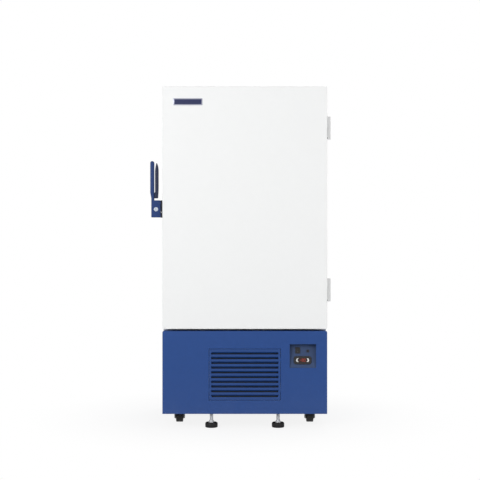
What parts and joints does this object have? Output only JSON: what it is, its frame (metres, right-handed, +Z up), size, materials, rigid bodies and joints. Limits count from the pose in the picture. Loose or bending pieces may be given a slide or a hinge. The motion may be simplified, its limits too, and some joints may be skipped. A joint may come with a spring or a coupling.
{
  "type": "ultra low temperature freezer",
  "caption": "Upright ultra low temperature freezer: white insulated door and cabinet on a blue machine base with a louvred grille, recessed controls, casters and levelling feet.",
  "frame": {"origin": "on the floor, under the middle of the whole part's box, with the levelling feet at their rest height", "axes": "+Z up; the door and the grille face -Y; +X to the right seen from the front, towards the hinges"},
  "size_m": [1.0367, 0.9464, 1.95],
  "materials": {
    "white_enamel": "smooth powder coat, soft gloss",
    "blue_enamel": "powder coat, soft gloss",
    "rigid_foam": "rigid foam, hidden",
    "stainless_steel": "brushed",
    "white_plastic": "moulded",
    "copper_tube": "drawn copper tube",
    "zinc_steel": "bright zinc plate",
    "grey_rubber": "soft",
    "dark_steel": "black primer",
    "fin_aluminium": "fin pack",
    "black_plastic": "moulded",
    "black_enamel": "gloss black",
    "dark_coating": "dark powder coat",
    "blue_plastic": "moulded, fine grain",
    "dark_plastic": "moulded, dark navy",
    "lock_chrome": "plated",
    "filter_mesh": "reticulated foam",
    "key_white": "moulded",
    "black_rubber": "moulded tread",
    "foot_plastic": "moulded pad on a plated stud"
  },
  "bodies": {
    "root": {"outer_cabinet": "white_enamel", "cabinet_back": "white_enamel", "cabinet_insulation": "rigid_foam", "inner_liner": "stainless_steel", "breaker_frame": "white_plastic", "evaporator_coil": "copper_tube", "shelves": "stainless_steel", "access_port": "white_plastic", "cabinet_hinges": "white_enamel", "latch_keeper": "zinc_steel", "inner_door_hinges": "stainless_steel", "inner_door_seals": "grey_rubber", "base_frame": "dark_steel", "base_side_panels": "blue_enamel", "front_panel": "blue_enamel", "rear_panel": "blue_enamel", "condenser": "fin_aluminium", "fan_shroud": "zinc_steel", "fan_motor": "black_plastic", "compressors": "black_enamel", "line_vessels": "black_enamel", "cascade_exchanger": "rigid_foam", "expansion_tank": "black_enamel", "refrigerant_lines": "copper_tube", "electrical_box": "zinc_steel", "control_tray": "blue_enamel", "control_housings": "black_plastic", "power_inlet": "black_plastic", "rear_spacers": "zinc_steel", "caster_plates": "zinc_steel"},
    "door": {"door_skin": "white_enamel", "door_insulation": "rigid_foam", "door_inner_panel": "white_plastic", "door_gasket": "grey_rubber", "door_hinges": "white_enamel", "latch_bracket": "dark_coating"},
    "handle": {"door_handle": "blue_plastic", "handle_inner_grip": "dark_plastic"},
    "lock": {"lock_barrel": "lock_chrome"},
    "inner_upper": {"inner_door_upper": "white_plastic"},
    "inner_lower": {"inner_door_lower": "white_plastic"},
    "grille": {"grille": "blue_plastic", "air_filter": "filter_mesh"},
    "fan": {"fan_blade": "black_plastic"},
    "rocker": {"power_rocker": "black_plastic"},
    "control_key": {"control_key": "lock_chrome"},
    "key_left": {"display_key_left": "key_white"},
    "key_right": {"display_key_right": "key_white"},
    "fork_left_front": {"caster_fork_left_front": "zinc_steel"},
    "wheel_left_front": {"caster_wheel_left_front": "black_rubber"},
    "foot_left_front": {"foot_left_front": "foot_plastic"},
    "fork_left_rear": {"caster_fork_left_rear": "zinc_steel"},
    "wheel_left_rear": {"caster_wheel_left_rear": "black_rubber"},
    "foot_left_rear": {"foot_left_rear": "foot_plastic"},
    "fork_right_front": {"caster_fork_right_front": "zinc_steel"},
    "wheel_right_front": {"caster_wheel_right_front": "black_rubber"},
    "foot_right_front": {"foot_right_front": "foot_plastic"},
    "fork_right_rear": {"caster_fork_right_rear": "zinc_steel"},
    "wheel_right_rear": {"caster_wheel_right_rear": "black_rubber"},
    "foot_right_rear": {"foot_right_rear": "foot_plastic"}
  },
  "joints": [
    {"name": "door_swing", "type": "hinge", "parent": "root", "child": "door", "pos_m": [0.50485, -0.35785, 1.25], "axis": [0, 0, 1], "range_deg": [0, 110]},
    {"name": "handle_turn", "type": "hinge", "parent": "door", "child": "handle", "pos_m": [-0.46965, -0.45985, 1.203], "axis": [0, 0, 1], "range_deg": [0, 60]},
    {"name": "lock_turn", "type": "hinge", "parent": "handle", "child": "lock", "pos_m": [-0.48475, -0.46985, 1.249], "axis": [0, -1, 0], "range_deg": [0, 90]},
    {"name": "inner_door_upper_swing", "type": "hinge", "parent": "root", "child": "inner_upper", "pos_m": [0.35885, -0.29085, 1.2525], "axis": [0, 0, 1], "range_deg": [0, 100]},
    {"name": "inner_door_lower_swing", "type": "hinge", "parent": "root", "child": "inner_lower", "pos_m": [0.35885, -0.29085, 0.67], "axis": [0, 0, 1], "range_deg": [0, 100]},
    {"name": "grille_pull", "type": "slide", "parent": "root", "child": "grille", "axis": [0, -1, 0], "range_m": [0, 0.06]},
    {"name": "fan_spin", "type": "hinge", "parent": "root", "child": "fan", "pos_m": [0.02085, -0.29685, 0.307], "axis": [0, 1, 0], "continuous": true},
    {"name": "rocker_press", "type": "hinge", "parent": "root", "child": "rocker", "pos_m": [0.32385, -0.43272, 0.44138], "axis": [1, 0, 0], "range_deg": [-16, 0]},
    {"name": "control_key_turn", "type": "hinge", "parent": "root", "child": "control_key", "pos_m": [0.38185, -0.43381, 0.43753], "axis": [0, -0.9626, 0.271], "range_deg": [0, 90]},
    {"name": "display_key_left_press", "type": "slide", "parent": "root", "child": "key_left", "axis": [0, 0.9626, -0.271], "range_m": [0, 0.0015], "stiffness_N_per_m": 400, "springref_m": -0.0005},
    {"name": "display_key_right_press", "type": "slide", "parent": "root", "child": "key_right", "axis": [0, 0.9626, -0.271], "range_m": [0, 0.0015], "stiffness_N_per_m": 400, "springref_m": -0.0005},
    {"name": "caster_swivel_left_front", "type": "hinge", "parent": "root", "child": "fork_left_front", "pos_m": [-0.35715, -0.35185, 0.106], "axis": [0, 0, 1], "continuous": true},
    {"name": "wheel_spin_left_front", "type": "hinge", "parent": "fork_left_front", "child": "wheel_left_front", "pos_m": [-0.35715, -0.32985, 0.05], "axis": [1, 0, 0], "continuous": true},
    {"name": "caster_swivel_left_rear", "type": "hinge", "parent": "root", "child": "fork_left_rear", "pos_m": [-0.35715, 0.34815, 0.106], "axis": [0, 0, 1], "continuous": true},
    {"name": "wheel_spin_left_rear", "type": "hinge", "parent": "fork_left_rear", "child": "wheel_left_rear", "pos_m": [-0.35715, 0.37015, 0.05], "axis": [1, 0, 0], "continuous": true},
    {"name": "caster_swivel_right_front", "type": "hinge", "parent": "root", "child": "fork_right_front", "pos_m": [0.39885, -0.35185, 0.106], "axis": [0, 0, 1], "continuous": true},
    {"name": "wheel_spin_right_front", "type": "hinge", "parent": "fork_right_front", "child": "wheel_right_front", "pos_m": [0.39885, -0.32985, 0.05], "axis": [1, 0, 0], "continuous": true},
    {"name": "caster_swivel_right_rear", "type": "hinge", "parent": "root", "child": "fork_right_rear", "pos_m": [0.39885, 0.34815, 0.106], "axis": [0, 0, 1], "continuous": true},
    {"name": "wheel_spin_right_rear", "type": "hinge", "parent": "fork_right_rear", "child": "wheel_right_rear", "pos_m": [0.39885, 0.37015, 0.05], "axis": [1, 0, 0], "continuous": true},
    {"name": "foot_adjust_left_front", "type": "slide", "parent": "root", "child": "foot_left_front", "axis": [0, 0, 1], "range_m": [-0.015, 0.025]},
    {"name": "foot_adjust_left_rear", "type": "slide", "parent": "root", "child": "foot_left_rear", "axis": [0, 0, 1], "range_m": [-0.015, 0.025]},
    {"name": "foot_adjust_right_front", "type": "slide", "parent": "root", "child": "foot_right_front", "axis": [0, 0, 1], "range_m": [-0.015, 0.025]},
    {"name": "foot_adjust_right_rear", "type": "slide", "parent": "root", "child": "foot_right_rear", "axis": [0, 0, 1], "range_m": [-0.015, 0.025]}
  ],
  "couplings": [
    {"joint": "inner_door_upper_swing", "follows": "door_swing", "ratio": 0.8},
    {"joint": "inner_door_lower_swing", "follows": "door_swing", "ratio": 0.8}
  ]
}
